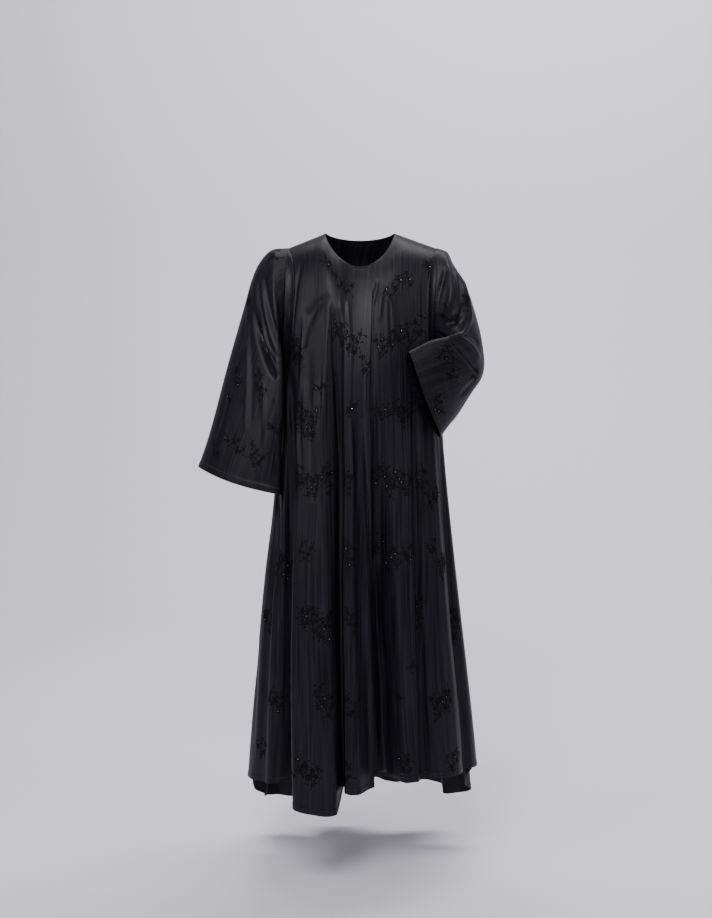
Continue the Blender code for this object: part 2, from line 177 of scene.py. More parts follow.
# one station from armhole to cuff a row: overarm, front, underarm and back points in millimetres,
# with +X outwards
HANGING_SLEEVE = metres((
    (208, 3, -40, 188, -78, -172, 192, 0, -304, 193, 76, -165),
    (236, 4, -69, 190, -90, -208, 195, -18, -325, 210, 78, -190),
    (254, 4, -109, 193, -99, -256, 194, -42, -352, 226, 74, -235),
    (271, 4, -168, 200, -106, -306, 190, -62, -390, 238, 67, -292),
    (295, 3, -249, 214, -111, -364, 186, -78, -435, 252, 56, -360),
    (319.5, 2, -334, 232, -114, -429, 183, -89, -486, 268, 44, -431),
    (342, 1, -417, 252, -117, -491, 181, -96, -532, 281, 38, -498),
    (363, 0, -488, 270, -118, -538, 181, -103, -571, 294, 32, -550),
    (385, 0, -550, 282, -119, -578, 180, -110, -604, 304, 27, -593),
))
BENT_SLEEVE = metres((
    (203, 3, -44, 193, -76, -165, 191, 0, -302, 196, 76, -165),
    (221, 6, -75, 206, -84, -178, 195, -6, -330, 220, 78, -195),
    (245, 10, -112, 214, -88, -194, 198, -16, -350, 238, 80, -240),
    (266, 12, -165, 220, -92, -213, 201, -28, -364, 258, 78, -290),
    (284, 8, -232, 220, -98, -232, 203, -38, -372, 272, 62, -335),
    (288, -12, -296, 210, -108, -243, 201, -48, -376, 266, 30, -360),
    (266, -58, -326, 190, -124, -244, 188, -66, -376, 240, -10, -390),
    (208, -124, -350, 154, -156, -252, 156, -102, -374, 212, -66, -436),
    (143, -178, -374, 106, -190, -276, 120, -140, -372, 182, -120, -470),
))


# ---------------- the form, on arrays of points
def smooth(x):
    x = np.clip(x, 0.0, 1.0)
    return x * x * (3.0 - 2.0 * x)


def table_at(table, key):
    """The other columns of a table at values of its first column, on a smooth curve."""
    rows = np.array(sorted(table), float)
    keys, values = rows[:, 0], rows[:, 1:]
    slope = np.empty_like(values)
    slope[1:-1] = (values[2:] - values[:-2]) / (keys[2:] - keys[:-2])[:, None]
    slope[0] = (values[1] - values[0]) / (keys[1] - keys[0])
    slope[-1] = (values[-1] - values[-2]) / (keys[-1] - keys[-2])
    key = np.clip(np.asarray(key, float), keys[0], keys[-1])
    i = np.clip(np.searchsorted(keys, key, side="right") - 1, 0, len(keys) - 2)
    span = (keys[i + 1] - keys[i])[..., None]
    t = (key[..., None] - keys[i][..., None]) / span
    p, q, m, n = values[i], values[i + 1], slope[i] * span, slope[i + 1] * span
    return p + t * (m + t * (3 * (q - p) - 2 * m - n + t * (2 * (p - q) + m + n)))


def squared(x, power):
    return np.copysign(np.abs(x) ** power, x)


def vectors(x, y, z):
    return np.stack(np.broadcast_arrays(x, y, z), axis=-1)


def unit(v):
    return v / np.linalg.norm(v, axis=-1, keepdims=True)


def body_at(angle, level):
    row = table_at(BODY, level)
    depth = np.where(np.cos(np.radians(angle)) > 0, row[..., 1], row[..., 2])
    return row[..., 0], depth, row[..., 3]


def body_point(angle, level):
    half_width, depth, hang = body_at(angle, level)
    a = np.radians(angle)
    return vectors(hang + half_width * squared(np.sin(a), SQUARENESS),
                   -depth * squared(np.cos(a), SQUARENESS), level)


def body_outward(angle, level):
    half_width, depth, _ = body_at(angle, level)
    a = np.radians(angle)
    return unit(vectors(squared(np.sin(a), 2 - SQUARENESS) / half_width,
                        -squared(np.cos(a), 2 - SQUARENESS) / depth, 0.0))


def fold_rise(folds, angle, level):
    total = np.zeros(np.broadcast(angle, level).shape)
    for _, start, hem, rise, start_level in folds:
        fall = np.clip((start_level - level) / (start_level - HEM), 0.0, 1.0)
        first, second, third, fourth = (a + (b - a) * fall for a, b in zip(start, hem))
        climb = smooth((angle - first) / (second - first)) * smooth((fourth - angle) / (fourth - third))
        total = total + rise * np.sin(0.5 * math.pi * fall) ** 0.75 * climb
    return total


def right_rise(angle, level):
    return fold_rise(FOLDS_RIGHT, angle, level) + LAP_LIFT * smooth((angle + 34.0) / 16.0)


def left_rise(angle, level):
    near, deep, top, bottom, depth = PARTING
    parting = depth * smooth((near - angle) / (near - deep)) * smooth((top - level) / (top - bottom))
    return fold_rise(FOLDS_LEFT, angle, level) - parting


def back_rise(angle, level):
    return fold_rise(FOLDS_BACK, angle, level)


def armhole_point(side, clock, away=0.0):
    """Points of the armholes: clock 0 on the shoulder, 90 in front, 180 under the arm."""
    plus = np.asarray(side) > 0
    distance = np.where(plus, ARMHOLES[1][1], ARMHOLES[0][1])
    lean = np.radians(np.where(plus, ARMHOLES[1][2], ARMHOLES[0][2]))
    clock = np.radians(clock)
    tall = ARMHOLE_HALF_HEIGHT * np.cos(clock)
    return vectors(side * (distance + np.sin(lean) * tall + np.cos(lean) * away),
                   -ARMHOLE_HALF_DEPTH * np.sin(clock),
                   ARMHOLE_LEVEL + np.cos(lean) * tall - np.sin(lean) * away)


def top_edge(angle):
    """Start of the column at each angle, and the direction in which the cloth leaves it."""
    angle = (angle + 180.0) % 360.0 - 180.0
    side = np.where(angle >= 0.0, 1.0, -1.0)
    front = np.abs(angle) <= 90.0
    facing = np.where(front, -1.0, 1.0)
    out = np.where(front, np.abs(angle), 180.0 - np.abs(angle))
    turn = 0.5 * math.pi * np.clip(out / NECK_ANGLE, 0, 1)
    neck = vectors(side * NECK_HALF_WIDTH * np.sin(turn),
                   facing * np.where(front, NECK_FRONT, NECK_BEHIND) * np.cos(turn),
                   -np.where(front, NECK_DROP_FRONT, NECK_DROP_BEHIND) * np.abs(np.cos(turn)) ** 1.5)
    along = np.clip((out - NECK_ANGLE) / (TIP_ANGLE - NECK_ANGLE), 0, 1)[..., None]
    neck_end = vectors(side * NECK_HALF_WIDTH, 0.0, 0.0)
    shoulder = neck_end * (1 - along) + armhole_point(side, np.zeros_like(out)) * along
    clock = 180.0 * np.clip((out - TIP_ANGLE) / (90.0 - TIP_ANGLE), 0, 1)
    armhole = armhole_point(side, np.where(front, clock, -clock))
    point = np.where((out <= NECK_ANGLE)[..., None], neck,
                     np.where((out <= TIP_ANGLE)[..., None], shoulder, armhole))
    seam = np.where(out <= NECK_ANGLE, np.sin(turn), 0.5 * (1 + np.cos(np.radians(clock))))
    point[..., 1] += facing * SHOULDER_SEAM * seam
    slope = np.where(front[..., None], table_at(TOP_SLOPE_FRONT, out), table_at(TOP_SLOPE_BACK, out))
    return point, unit(vectors(-side * slope[..., 0], facing * slope[..., 1], -slope[..., 2]))


def panel_point(angle, height, hem, rise):
    """Points of a panel. Height is 1 at the top edge, 0 at the chest and -1 at the hem."""
    angle, height = np.broadcast_arrays(np.asarray(angle, float), np.asarray(height, float))
    level = CHEST + (CHEST - table_at(hem, angle)[..., 0]) * np.minimum(height, 0.0)
    lower = body_point(angle, level)
    top, leaving = top_edge(angle)
    chest = body_point(angle, np.full_like(angle, CHEST))
    arriving = unit(body_point(angle, np.full_like(angle, CHEST - 0.02)) - chest)
    reach = np.linalg.norm(top - chest, axis=-1, keepdims=True)
    t = 1.0 - np.maximum(height, 0.0)[..., None]
    upper = (top * (1 + 2 * t) * (1 - t) ** 2 + chest * t * t * (3 - 2 * t)
             + leaving * (reach * t * (1 - t) ** 2) - arriving * (reach * t * t * (1 - t)))
    base = np.where((height > 0)[..., None], upper, lower)
    out_level = np.where(height > 0, CHEST, level)
    return base, body_outward(angle, out_level), rise(angle, base[..., 2])


def ease_chest(base, angle, height, passes=220, share=0.45):
    """Evens out the cloth below the neck ends of the shoulder seams, across its columns."""
    angle, height = np.broadcast_arrays(angle, height)
    out = np.abs((angle + 90.0) % 180.0 - 90.0)
    weight = (smooth((1.0 - height) / 0.16) * smooth(height / 0.30)
              * smooth((TIP_ANGLE - 2.0 - out) / 16.0))[:, 1:-1, None]
    for _ in range(passes):
        bend = base[:, 2:] + base[:, :-2] - 2.0 * base[:, 1:-1]
        base[:, 1:-1] += share * weight * bend
    return base


def panel(angles, hem, rise):
    base, outward, lift = panel_point(*angles, hem, rise)
    return ease_chest(base, *angles), outward, lift


def tucked(edge, inside, outward):
    """The seam allowance beyond an edge, turned in under the piece it is sewn to."""
    return edge - unit(inside - edge) * SEAM_TURN - unit(outward) * SEAM_UNDER


def tuck_sides(base, outward, rise):
    """A panel with its folds laid on and a seam allowance added along both sides."""
    points = base + outward * rise[..., None]
    ends = [tucked(points[:, end], points[:, inside], outward[:, end])[:, None]
            for end, inside in ((0, 1), (-1, -2))]
    points = np.concatenate([ends[0], points, ends[1]], axis=1)
    outward = np.concatenate([outward[:, :1], outward, outward[:, -1:]], axis=1)
    return points, outward, np.zeros(points.shape[:2])


def sleeve_point(side, table, clock, along):
    """Points of a sleeve on the smooth rings through its four guide lines."""
    start = []
    for n in (0.0, 90.0, 180.0, 270.0):
        x, y, z = armhole_point(side, n, ARMHOLE_SEAM)
        start += [side * x, y, z]
    rows = [(0.0, *start)] + [(n + 1.0, *row) for n, row in enumerate(table)]
    numbers = table_at(rows, along * (len(rows) - 1))
    overarm, front, underarm, back = [
        vectors(side * numbers[..., n], numbers[..., n + 1], numbers[..., n + 2]) for n in (0, 3, 6, 9)]
    a = np.radians(clock)[..., None]
    middle = (overarm + front + underarm + back) / 4.0
    sway = (overarm + underarm - front - back) / 4.0
    point = (middle + (overarm - underarm) * (0.5 * np.cos(a))
             + (front - back) * (0.5 * np.sin(a)) + sway * np.cos(2.0 * a))
    return point, middle


# ---------------- grids of points
def stretches(stops, counts):
    """Numbers from stop to stop, evenly spaced within each stretch."""
    values = [stops[0]]
    for start, end, count in zip(stops, stops[1:], counts):
        values += [start + (end - start) * (n + 1) / count for n in range(count)]
    return np.array(values)


def side_gap(height):
    """Degrees between a panel's edge and the middle of its side seam."""
    level = CHEST + (CHEST - HEM) * np.minimum(height, 0.0)
    return np.degrees(SIDE_SEAM / table_at(BODY, level)[..., 1])


# rows of the panels: top edge, chest, top of the turned hem, hem
HEIGHTS = stretches((1.0, 0.0, -0.97, -1.0), (64, 190, 10))


def front_angles(side, columns, fine=6, beyond=8):
    """Angles and heights of a front's fine grid, with columns beyond the shoulder's tip added."""
    top, bottom = columns[-1]
    rows = list(columns)
    for n in range(1, beyond + 1):
        rows.append((top + (side * 90.0 - top) * n / beyond,
                     bottom + (side * 90.0 - bottom) * n / beyond))
    index = np.linspace(0, len(rows) - 1, fine * (len(rows) - 1) + 1)
    at_top = np.interp(index, range(len(rows)), [row[0] for row in rows])[None, :]
    at_hem = np.interp(index, range(len(rows)), [row[1] for row in rows])[None, :]
    height = HEIGHTS[:, None]
    gap = side_gap(height) * np.clip((np.abs(at_top) - TIP_ANGLE) / (90.0 - TIP_ANGLE), 0, 1)
    return at_top + (at_hem - at_top) * (1.0 - height) / 2.0 - side * gap, height


def back_angles():
    stops = (90.0, 180.0 - TIP_ANGLE, 180.0 - NECK_ANGLE, 180.0,
             180.0 + NECK_ANGLE, 180.0 + TIP_ANGLE, 270.0)
    columns = stretches(stops, (36, 24, 20, 20, 24, 36))[None, :]
    height = HEIGHTS[:, None]
    return columns + side_gap(height) * (180.0 - columns) / 90.0, height


def grid_normals(points, closed, outward):
    """Unit normals of a grid of points that face the way of a rough outward field."""
    down = np.gradient(points, axis=0)
    if closed:
        across = (np.roll(points, -1, axis=1) - np.roll(points, 1, axis=1)) * 0.5
    else:
        across = np.gradient(points, axis=1)
    normal = np.cross(down, across)
    length = np.linalg.norm(normal, axis=-1, keepdims=True)
    normal = np.where(length > 1e-12, normal / np.maximum(length, 1e-12), unit(outward + 1e-9))
    flip = np.sign((normal * outward).sum(axis=-1).mean())
    return normal * flip


def lengths(points, axis):
    """Running length of the cloth along an axis of a grid."""
    step = np.linalg.norm(np.diff(points, axis=axis), axis=-1)
    start = np.zeros_like(np.take(step, [0], axis=axis))
    return np.cumsum(np.concatenate([start, step], axis=axis), axis=axis)


# ---------------- creases laid one by one
def line_through(knots, count=14):
    """Points along a smooth line through a few knots."""
    rows = [(n, *knot) for n, knot in enumerate(knots)]
    return table_at(rows, np.linspace(0, len(knots) - 1, count))


def crease_field(creases, x, z, weight):
    """Height of soft ridges (+) and troughs (-) at places of the x, z plane."""
    total = np.zeros_like(x)
    for rise, width, *knots in metres(creases):
        line = line_through(np.reshape(knots, (-1, 2)))
        reach = 3.2 * width
        near = ((x > line[:, 0].min() - reach) & (x < line[:, 0].max() + reach)
                & (z > line[:, 1].min() - reach) & (z < line[:, 1].max() + reach) & (weight > 0))
        if not near.any():
            continue
        p = np.stack([x[near], z[near]], axis=-1)
        best = np.full(len(p), 1e9)
        place = np.zeros(len(p))
        for n in range(len(line) - 1):
            a, ab = line[n], line[n + 1] - line[n]
            t = np.clip(((p - a) @ ab) / (ab @ ab), 0.0, 1.0)
            d = np.linalg.norm(p - a - t[:, None] * ab, axis=-1)
            closer = d < best
            best = np.where(closer, d, best)
            place = np.where(closer, (n + t) / (len(line) - 1), place)
        q = (best / width) ** 2
        profile = (1.0 - 0.35 * q) * np.exp(-q)
        taper = np.clip(np.sin(math.pi * np.clip(place, 0.0, 1.0)), 0.0, 1.0) ** 0.55
        total[near] += rise * profile * taper * weight[near]
    return total


# for each crease the height of its ridge, negative for a trough, its width, and then x, z of a few
# places along it, all in millimetres
CREASES_IN_FRONT = {
    "front_right": (
        (3, 7, -72, -160, -75, -249, -79, -339, -86, -452, -91, -612),
        (-5, 5, -66, -165, -61, -227, -59, -294, -55, -384, -50, -498),
        (1.2, 4, -45, -156, -43, -200, -43, -249), (-1.2, 4, -36, -160, -34, -209, -32, -261),
        (1, 4, -27, -160, -25, -205, -23, -245), (-4, 12, -68, -151, -99, -173, -124, -227, -131, -276),
        (3.5, 16, -135, -160, -149, -227, -145, -285),
        (-3.5, 9, -116, -272, -116, -385, -112, -499, -105, -613),
        (-3, 6, -157, -322, -155, -408, -151, -477), (2.5, 6, -168, -306, -169, -385, -165, -477),
        (-2.5, 5, -137, -374, -137, -454, -133, -545), (2, 4, -146, -351, -146, -442, -142, -545),
        (-5, 8, -167, -443, -166, -546, -161, -662, -160, -802, -161, -944),
        (4, 6, -179, -478, -178, -617, -174, -757, -177, -899),
        (-4, 6, -194, -479, -192, -618, -189, -759, -194, -901),
        (-1.5, 5, -122, -474, -121, -611, -119, -748),
        (1.2, 5, -109, -701, -108, -885, -106, -1072, -109, -1261),
        (-1.5, 6, -214, -851, -220, -1041, -231, -1233), (2.5, 7, -198, -828, -206, -1041, -212, -1258),
        (-2, 5, -240, -953, -246, -1098, -254, -1256),
        (-2.5, 5, -136, -75, -143, -115, -149, -160, -152, -227),
        (2, 8, -161, -69, -164, -136, -164, -227),
    ),
    "front_left": (
        (-3, 4, 40, -113, 36, -137, 29, -173), (2.5, 6, 54, -124, 47, -160, 43, -209),
        (-1, 4, 67, -160, 69, -227, 72, -283), (1.2, 5, 114, -137, 114, -205, 115, -261),
        (-1.5, 5, 128, -160, 130, -227, 133, -272), (2, 8, 94, -160, 99, -216, 101, -272),
        (-2.5, 8, 144, -92, 144, -160, 147, -227), (-2.5, 5, 122, -475, 125, -566, 130, -681),
        (1.5, 5, 108, -475, 111, -612, 116, -750), (1.2, 5, 81, -588, 84, -725, 89, -887),
        (-1.2, 5, 72, -588, 75, -725, 77, -887), (2, 8, 164, -568, 175, -754, 185, -941, 200, -1131),
        (-2.5, 5, 194, -550, 205, -713, 216, -903, 229, -1095),
        (1.8, 6, 215, -948, 228, -1092, 241, -1225), (-1.2, 5, 185, -988, 196, -1131, 208, -1239),
        (1.5, 5, 163, -936, 173, -1101, 186, -1244),
        (-16, 13, 32, -748, 43, -934, 50, -1075, 55, -1240),
        (-3.5, 4, 31, -125, 28, -182, 27, -294, 26, -452, 25, -658, 27, -843),
    ),
    "sleeve_right": (
        (-7, 7, -235, -95, -235, -136, -229, -186, -215, -245, -195, -300),
        (4, 5, -228, -100, -226, -141, -217, -186, -204, -238, -186, -286),
        (-6, 6, -219, -107, -213, -159, -201, -204, -183, -261),
        (3, 6, -201, -86, -197, -159, -186, -227),
        (4, 4, -235, -166, -226, -209, -215, -254, -188, -302),
        (-11, 7, -245, -177, -236, -227, -222, -272, -207, -309, -191, -336),
        (-8, 5, -234, -227, -218, -277, -198, -323),
        (9, 11, -180, -227, -181, -307, -179, -388, -182, -458),
        (4, 4, -262, -172, -260, -249, -261, -363, -264, -460),
        (-2, 6, -249, -272, -248, -363, -251, -455), (-3, 6, -197, -386, -193, -478, -192, -571),
        (3, 8, -224, -341, -216, -455, -212, -571), (1.8, 8, -296, -342, -311, -434, -326, -532),
    ),
    "sleeve_left": (
        (-9, 8, 198, -86, 184, -125, 171, -170, 162, -209),
        (6, 9, 204, -77, 209, -122, 205, -165, 192, -199), (-7, 6, 223, -86, 233, -124, 231, -170),
        (4, 5, 242, -108, 251, -158, 259, -215), (-12, 7, 196, -209, 217, -206, 233, -193, 237, -165),
        (5, 5, 182, -225, 205, -238, 234, -234, 252, -206, 250, -166),
        (-10, 7, 205, -249, 228, -270, 251, -295, 276, -327),
        (6, 6, 218, -240, 241, -252, 264, -272, 281, -295), (-4, 6, 247, -238, 265, -245, 279, -268),
        (3, 8, 181, -261, 209, -299, 232, -340), (-2.5, 6, 158, -261, 186, -295, 204, -340, 209, -385),
        (-3, 7, 271, -341, 249, -360, 230, -378), (2, 8, 144, -321, 167, -362, 186, -412),
        (-2, 6, 177, -385, 195, -404, 209, -422),
    ),
}
CREASES_BEHIND = {
    "sleeve_right": (
        (-6, 9, -190, -130, -204, -220, -208, -310),
        (4, 8, -212, -110, -228, -210, -236, -320, -246, -420),
        (-5, 8, -236, -120, -252, -230, -266, -350, -280, -470),
        (3, 7, -226, -360, -240, -460, -252, -560), (-3, 7, -296, -330, -316, -430, -332, -520),
        (-3.5, 8, -206, -420, -212, -500, -216, -580),
    ),
    "sleeve_left": (
        (-6, 9, 188, -120, 202, -210, 206, -300), (4, 8, 214, -110, 230, -200, 240, -290),
        (-5.5, 8, 252, -190, 236, -250, 214, -310), (4.5, 7, 270, -240, 250, -300, 224, -350),
        (-6, 8, 278, -290, 258, -340, 234, -390), (3, 7, 262, -360, 238, -400, 212, -440),
    ),
    "back": (
        (-6, 10, -118, -140, -128, -260, -122, -400, -126, -560),
        (4.5, 9, -98, -170, -104, -300, -98, -450),
        (-3.5, 7, -70, -210, -74, -360, -66, -540, -70, -700), (3, 8, -32, -120, -36, -240, -30, -380),
        (-4, 9, 14, -160, 10, -320, 18, -500, 14, -640), (3.5, 7, 46, -200, 52, -370, 50, -560),
        (-5.5, 10, 92, -130, 100, -250, 94, -400, 102, -590), (4, 8, 124, -150, 130, -270, 126, -430),
        (-4.5, 8, 152, -230, 158, -380, 164, -560, 170, -720),
        (-4, 9, -160, -260, -166, -420, -176, -620, -184, -800),
        (3, 7, -148, -700, -158, -880, -162, -1080),
        (-3, 8, -48, -760, -52, -960, -46, -1180, -50, -1330), (2.8, 7, 6, -820, 2, -1010, 8, -1240),
        (-3.2, 7, 118, -780, 128, -980, 126, -1200), (3, 8, 190, -640, 200, -860, 212, -1120),
        (-2.8, 6, -212, -900, -222, -1100, -230, -1280), (-3, 12, -60, -68, 0, -86, 58, -70),
    ),
}


# ---------------- satin, thread and motif materials
class Look:
    """A new material with numbers set on its shader, and short ways to add nodes to it."""

    def __init__(self, name, numbers):
        self.material = bpy.data.materials.new(name)
        self.material.use_nodes = True
        self.nodes = self.material.node_tree.nodes
        self.links = self.material.node_tree.links
        self.shader = self.nodes["Principled BSDF"]
        self.normal = None
        for key, value in numbers.items():
            self.shader.inputs[key].default_value = value

    def node(self, kind, numbers=None, **settings):
        made = self.nodes.new(kind)
        for key, value in settings.items():
            setattr(made, key, value)
        for key, value in (numbers or {}).items():
            made.inputs[key].default_value = value
        return made

    def pattern(self, kind, numbers):
        """A texture in the object's own coordinates."""
        texture = self.node(kind, numbers)
        place = self.node("ShaderNodeTexCoord")
        self.links.new(place.outputs["Object"], texture.inputs["Vector"])
        return texture.outputs["Fac"]

    def streaks(self, across, along, detail, seed):
        """Noise in cloth coordinates, so many cells to the metre across and along."""
        place = self.node("ShaderNodeUVMap", uv_map="cloth")
        scale = self.node("ShaderNodeMapping", {"Scale": (across, along, 1.0),
                                                "Location": (seed, seed * 1.7, 0.0)})
        noise = self.node("ShaderNodeTexNoise", {"Scale": 1.0, "Detail": detail}, noise_dimensions="2D")
        self.links.new(place.outputs["UV"], scale.inputs["Vector"])
        self.links.new(scale.outputs["Vector"], noise.inputs["Vector"])
        return noise.outputs["Fac"]

    def half(self, value):
        made = self.node("ShaderNodeMath", {1: 0.5}, operation="MULTIPLY")
        self.links.new(value, made.inputs[0])
        return made.outputs[0]

    def colour(self, value, dark, light, stops=(0.0, 1.0)):
        """Colours the shader from dark to light while a value goes from stop to stop."""
        tone = self.node("ShaderNodeValToRGB")
        for n, shade in enumerate((dark, light)):
            tone.color_ramp.elements[n].position = stops[n]
            tone.color_ramp.elements[n].color = (*shade, 1.0)
        self.links.new(value, tone.inputs["Fac"])
        self.links.new(tone.outputs["Color"], self.shader.inputs["Base Color"])

    def relief(self, value, strength, height):
        """Relief by a value, laid over the relief that is there already."""
        bump = self.node("ShaderNodeBump", {"Strength": strength, "Distance": height})
        self.links.new(value, bump.inputs["Height"])
        if self.normal is not None:
            self.links.new(self.normal, bump.inputs["Normal"])
        self.normal = bump.outputs["Normal"]
        self.links.new(self.normal, self.shader.inputs["Normal"])


def satin_material():
    """Black satin: a soft slub in colour, gloss and relief that runs down the cloth."""
    look = Look("satin_front", {"Specular IOR Level": 0.16, "Anisotropic": 0.35})
    slub = look.streaks(210.0, 5.0, 4.0, 3.1)
    cloud = look.streaks(9.0, 4.0, 2.0, 7.7)
    weave = look.streaks(2600.0, 420.0, 1.0, 1.3)
    look.colour(slub, (0.0012, 0.0010, 0.0024), (0.0088, 0.0078, 0.0122), (0.32, 0.70))
    mixed = look.node("ShaderNodeMath", operation="ADD")
    gloss = look.node("ShaderNodeMapRange", {"From Min": 0.3, "From Max": 0.7,
                                             "To Min": 0.40, "To Max": 0.54})
    look.links.new(look.half(slub), mixed.inputs[0])
    look.links.new(look.half(cloud), mixed.inputs[1])
    look.links.new(mixed.outputs[0], gloss.inputs["Value"])
    look.links.new(gloss.outputs["Result"], look.shader.inputs["Roughness"])
    look.relief(slub, 0.42, 0.0004)
    look.relief(weave, 0.25, 0.0002)
    return look.material


def motif_material():
    """Matt dark thread of the woven flowers, with lighter specks painted into its colour as glints of
    light on the threads.
    """
    look = Look("motif_weave_painted_glints", {"Roughness": 0.62, "Specular IOR Level": 0.07})
    noise = look.pattern("ShaderNodeTexNoise", {"Scale": 260.0, "Detail": 2.0})
    # painted highlight: the dark end is the thread's own colour, and the lighter specks are painted
    # glints of light
    look.colour(noise, (0.0008, 0.0007, 0.0012), (0.0090, 0.0082, 0.0110), (0.46, 0.75))
    look.relief(noise, 0.7, 0.0005)
    return look.material


def bead_material():
    """Dark polished beads, each a little lighter or darker."""
    look = Look("bead_glass", {"Roughness": 0.12, "Metallic": 0.6, "Coat Weight": 0.6})
    noise = look.pattern("ShaderNodeTexNoise", {"Scale": 300.0})
    look.colour(noise, (0.16, 0.16, 0.19), (0.50, 0.50, 0.55))
    return look.material


def thread_material():
    """Twisted sewing thread."""
    look = Look("stitch_thread", {"Roughness": 0.5})
    wave = look.pattern("ShaderNodeTexWave", {"Scale": 900.0, "Distortion": 3.0})
    look.colour(wave, (0.006, 0.0055, 0.008), (0.022, 0.021, 0.026))
    look.relief(wave, 0.5, 0.0003)
    return look.material


def paper_material():
    """Pale paper of the studio's sweep, a little cloudy."""
    look = Look("studio_paper", {"Roughness": 0.9})
    noise = look.node("ShaderNodeTexNoise", {"Scale": 3.0})
    look.colour(noise.outputs["Fac"], (0.640, 0.622, 0.685), (0.668, 0.650, 0.712))
    return look.material


# ---------------- meshes
def mesh_object(name, points, faces, material, uvs=None):
    mesh = bpy.data.meshes.new(name)
    mesh.from_pydata([tuple(p) for p in points], [], faces)
    mesh.materials.append(material)
    if uvs is not None:
        layer = mesh.uv_layers.new(name="cloth")
        loops = np.empty(len(mesh.loops), dtype=np.int32)
        mesh.loops.foreach_get("vertex_index", loops)
        layer.data.foreach_set("uv", np.asarray(uvs, dtype=np.float32)[loops].ravel())
    mesh.polygons.foreach_set("use_smooth", [True] * len(mesh.polygons))
    mesh.update()
    obj = bpy.data.objects.new(name, mesh)
    bpy.context.scene.collection.objects.link(obj)
    return obj


def valley(distance, width):
    """How far the cloth sinks at a distance from a seam."""
    return SEAM_VALLEY * np.exp(-(distance / width) ** 2)


class Cloth:
    """One panel or sleeve: its outer grid, its normals and its cloth coordinates."""

    def __init__(self, name, base, outward, rise, closed, hem_turn, edge_turn):
        """Lays the folds, the creases, the turned edges and the seam valleys on a base."""
        self.name, self.closed = name, closed
        points = base + outward * rise[..., None]
        normal = grid_normals(points, closed, outward)
        front = np.clip((0.35 - normal[..., 1]) / 0.3, 0.0, 1.0)
        behind = np.clip((normal[..., 1] + 0.35) / 0.3, 0.0, 1.0)
        x, z = points[..., 0], points[..., 2]
        lift = crease_field(CREASES_IN_FRONT.get(name, ()), x, z, front)
        lift = lift + crease_field(CREASES_BEHIND.get(name, ()), x, z, behind)

        # the creases fade at the top edge and at the last column's seam, and the cloth rises over
        # its turned hem and edge and sinks at its seams
        across, down = lengths(points, 1), lengths(points, 0)
        to_seam, to_hem = across[:, -1:] - across, down[-1:] - down
        lift = lift * smooth((down - 0.004) / 0.020)
        if not closed:
            lift = lift * smooth((to_seam - 0.002) / 0.014)
        lift = lift + HEM_STEP * smooth((hem_turn - to_hem) / TURN_EASE)
        lift = lift - valley(down, 0.0035)
        if not closed:
            lift = lift - valley(to_seam, 0.004)
        if edge_turn:
            lift = lift + EDGE_STEP * smooth((edge_turn - across) / TURN_EASE)
        elif not closed:
            lift = lift - valley(across, 0.004)
        self.points = points + normal * lift[..., None]
        self.normal = grid_normals(self.points, closed, outward)
        self.across = lengths(self.points, 1)
        self.down = lengths(self.points, 0)

    def build(self, material):
        """The cloth as a thin shell, with the grain of the satin in its cloth coordinates."""
        rows, cols = self.points.shape[:2]
        outer = self.points.reshape(-1, 3)
        inner = (self.points - self.normal * CLOTH).reshape(-1, 3)
        count = rows * cols
        faces = []
        turn = [(c, (c + 1) % cols) for c in range(cols if self.closed else cols - 1)]
        for r in range(rows - 1):
            a, b = r * cols, (r + 1) * cols
            for c, d in turn:
                faces.append((a + c, b + c, b + d, a + d))
                faces.append((count + a + c, count + a + d, count + b + d, count + b + c))
        last = (rows - 1) * cols
        for c, d in turn:
            faces.append((c, d, count + d, count + c))
            faces.append((last + c, count + last + c, count + last + d, last + d))
        if not self.closed:
            e = cols - 1
            for r in range(rows - 1):
                a, b = r * cols, (r + 1) * cols
                faces.append((a, count + a, count + b, b))
                faces.append((a + e, b + e, count + b + e, count + a + e))
        grain = 0.25 * self.across + 0.75 * self.across.mean(axis=0, keepdims=True)
        uv = np.stack([grain, self.down], axis=-1).reshape(-1, 2)
        obj = mesh_object("cloak_" + self.name, np.concatenate([outer, inner]), faces, material,
                          np.concatenate([uv, uv]))
        fix_winding(obj.data, self)
        obj.data.set_sharp_from_angle(angle=math.radians(70.0))
        return obj

    def locate(self, row, col):
        """Point and normal at fractional grid places."""
        rows, cols = self.points.shape[:2]
        row = np.clip(row, 0, rows - 1.001)
        if self.closed:
            col = np.mod(col, cols)
        else:
            col = np.clip(col, 0, cols - 1.001)
        r, c = row.astype(int), col.astype(int)
        c = np.minimum(c, cols - 1)
        u, v = (row - r)[:, None], (col - c)[:, None]
        e = (c + 1) % cols

        def blend(field):
            return ((field[r, c] * (1 - v) + field[r, e] * v) * (1 - u)
                    + (field[r + 1, c] * (1 - v) + field[r + 1, e] * v) * u)

        return blend(self.points), unit(blend(self.normal))

    def walk(self, row, col, s, t, steps=6):
        """Grid places at cloth distances s across and t down from a grid place, by small steps."""
        row = np.full(len(s), float(row))
        col = np.full(len(s), float(col))
        for _ in range(steps):
            right, left = self.locate(row, col + 0.5)[0], self.locate(row, col - 0.5)[0]
            below, above = self.locate(row + 0.5, col)[0], self.locate(row - 0.5, col)[0]
            per_col = np.maximum(np.linalg.norm(right - left, axis=-1), 5e-4)
            per_row = np.maximum(np.linalg.norm(below - above, axis=-1), 5e-4)
            col = col + s / steps / per_col
            row = row + t / steps / per_row
        return row, col

    def nearest(self, x, z, behind):
        """Grid place whose point is nearest to x, z among those that face the front or back."""
        facing = self.normal[..., 1] > 0.05 if behind else self.normal[..., 1] < -0.05
        gap = np.hypot(self.points[..., 0] - x, self.points[..., 2] - z) + np.where(facing, 0.0, 9.0)
        # where folds hide one another, the outermost layer is taken
        depth = self.points[..., 1] * (-1 if behind else 1)
        gap = gap + 0.02 * (depth - depth.min())
        return np.unravel_index(np.argmin(gap), gap.shape)


